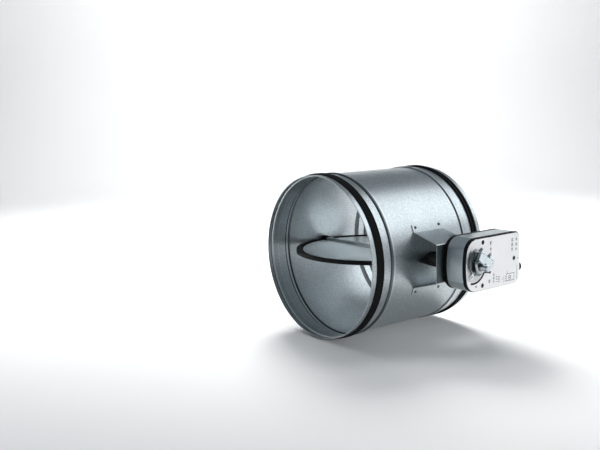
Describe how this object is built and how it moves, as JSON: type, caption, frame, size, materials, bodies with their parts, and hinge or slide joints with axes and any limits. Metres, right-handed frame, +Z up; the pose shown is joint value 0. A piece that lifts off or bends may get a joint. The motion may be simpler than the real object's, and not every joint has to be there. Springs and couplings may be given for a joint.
{
  "type": "motorized round damper",
  "caption": "Motorized round duct damper: sheet duct with gasketed spigots, butterfly blade, hat bracket and spring-return rotary actuator.",
  "frame": {"origin": "where the blade shaft's axis crosses the duct's axis, midway up the duct", "axes": "+X along the shaft towards the actuator, +Y along the duct away from the front rim, +Z up"},
  "size_m": [0.462, 0.3118, 0.3208],
  "materials": {
    "galvanised_steel": "satin, fine zinc spangle",
    "bright_zinc": "bright zinc plated",
    "housing_sheet": "satin",
    "dark_steel": "dark, matt",
    "spring_steel": "blued",
    "pinion_brass": "machined",
    "white_plate": "satin white",
    "black_rubber": "matt",
    "black_plastic": "fine grain",
    "gear_plastic": "natural",
    "board_green": "lacquered"
  },
  "bodies": {
    "frame": {"duct_shell": "galvanised_steel", "front_gasket": "black_rubber", "rear_gasket": "black_rubber", "drive_side_bush": "black_plastic", "idle_side_bush": "black_plastic", "bracket": "galvanised_steel", "bracket_rivets": "dark_steel", "actuator_rear_cover": "black_plastic", "actuator_housing": "housing_sheet", "actuator_front_cover": "black_plastic", "front_plate": "white_plate", "cover_screws": "dark_steel", "case_pillars": "bright_zinc", "mounting_screws": "bright_zinc", "travel_scale": "black_plastic", "motor": "housing_sheet", "gear_axles": "bright_zinc", "gear_plate": "housing_sheet", "gear_pillars": "bright_zinc", "circuit_board": "board_green", "board_components": "black_plastic", "cable_gland": "black_plastic", "gland_nut": "black_plastic"},
    "blade_drive": {"blade_upper_plate": "galvanised_steel", "blade_lower_plate": "galvanised_steel", "blade_seal": "black_rubber", "blade_rivets": "bright_zinc", "drive_shaft": "bright_zinc", "output_hub": "bright_zinc", "position_pointer": "black_plastic", "hub_clip": "bright_zinc", "clamp_saddle": "bright_zinc", "clamp_u_bolt": "bright_zinc", "clamp_nuts": "bright_zinc"},
    "second_gear": {"second_gear": "gear_plastic"},
    "motor_pinion": {"motor_pinion": "pinion_brass"},
    "spring_gear": {"spring_gear": "gear_plastic", "main_spring": "spring_steel"}
  },
  "joints": [
    {"name": "blade_turn", "type": "hinge", "parent": "frame", "child": "blade_drive", "pos_m": [0, 0, 0], "axis": [-1, 0, 0], "range_deg": [0, 90], "stiffness_Nm_per_rad": 1.5, "springref_deg": -28.65},
    {"name": "second_gear_turn", "type": "hinge", "parent": "frame", "child": "second_gear", "pos_m": [0, 0.02024, 0.02024], "axis": [-1, 0, 0], "range_deg": [-252, 0]},
    {"name": "motor_turn", "type": "hinge", "parent": "frame", "child": "motor_pinion", "pos_m": [0, 0.03829, 0.02182], "axis": [-1, 0, 0], "range_deg": [0, 655.2]},
    {"name": "spring_gear_turn", "type": "hinge", "parent": "frame", "child": "spring_gear", "pos_m": [0, 0.03905, -0.01578], "axis": [-1, 0, 0], "range_deg": [-90, 0]}
  ],
  "couplings": [
    {"joint": "second_gear_turn", "follows": "blade_turn", "ratio": -2.8},
    {"joint": "motor_turn", "follows": "blade_turn", "ratio": 7.28},
    {"joint": "spring_gear_turn", "follows": "blade_turn", "ratio": -1}
  ]
}
